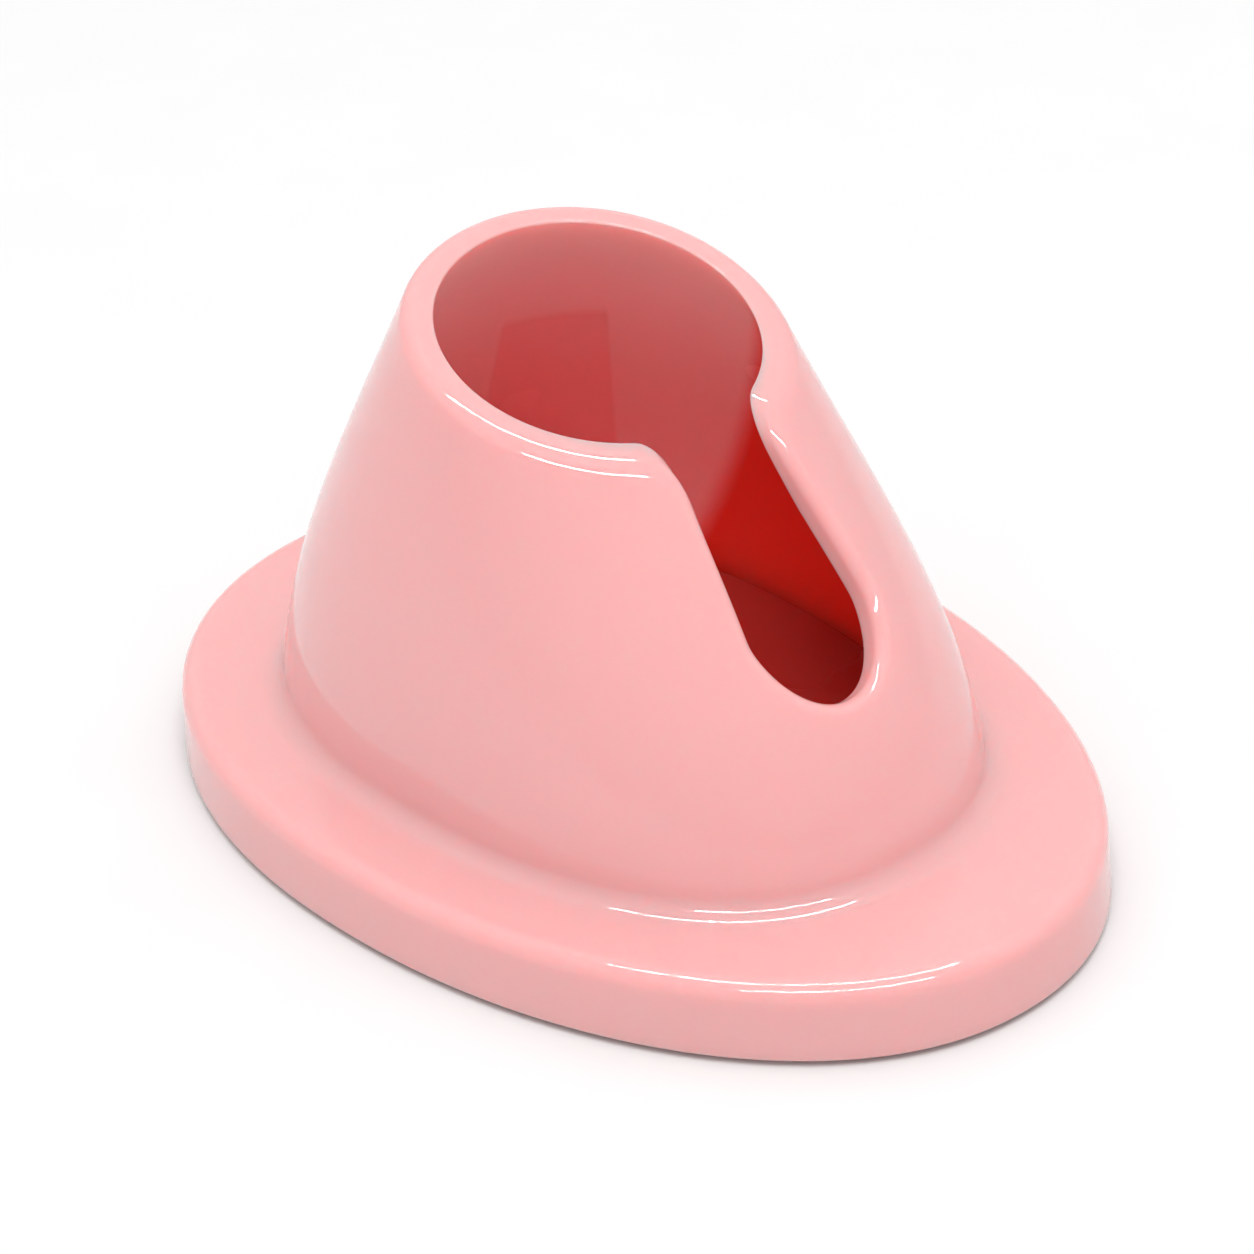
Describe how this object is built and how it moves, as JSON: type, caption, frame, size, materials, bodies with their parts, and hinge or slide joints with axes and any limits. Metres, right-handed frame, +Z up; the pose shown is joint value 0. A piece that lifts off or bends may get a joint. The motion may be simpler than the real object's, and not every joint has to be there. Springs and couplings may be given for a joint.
{
  "type": "massage wand stand",
  "caption": "Hollow tapered table stand on a weighted oval flange, with a tipped round mouth for a wand handle and a U-shaped cord slot down its front.",
  "frame": {"origin": "on the table, under the middle of the flange", "axes": "+Z up, +Y along the flange's longer axis towards the back, -Y towards the slot, +X to the right seen from the slot"},
  "size_m": [0.094, 0.1364, 0.0705],
  "materials": {
    "gloss_pink": "polished",
    "inner_pink": "satin",
    "base_pink": "fine spark texture",
    "zinc_steel": "zinc plated",
    "screw_steel": "zinc plated",
    "clear_rubber": "matte"
  },
  "bodies": {
    "root": {"stand_shell": "gloss_pink", "floor_plate": "inner_pink", "ballast_plate": "zinc_steel", "base_plate": "base_pink", "screw_1": "screw_steel", "screw_2": "screw_steel", "screw_3": "screw_steel", "screw_4": "screw_steel", "rubber_foot_1": "clear_rubber", "rubber_foot_2": "clear_rubber", "rubber_foot_3": "clear_rubber", "rubber_foot_4": "clear_rubber"}
  },
  "joints": []
}
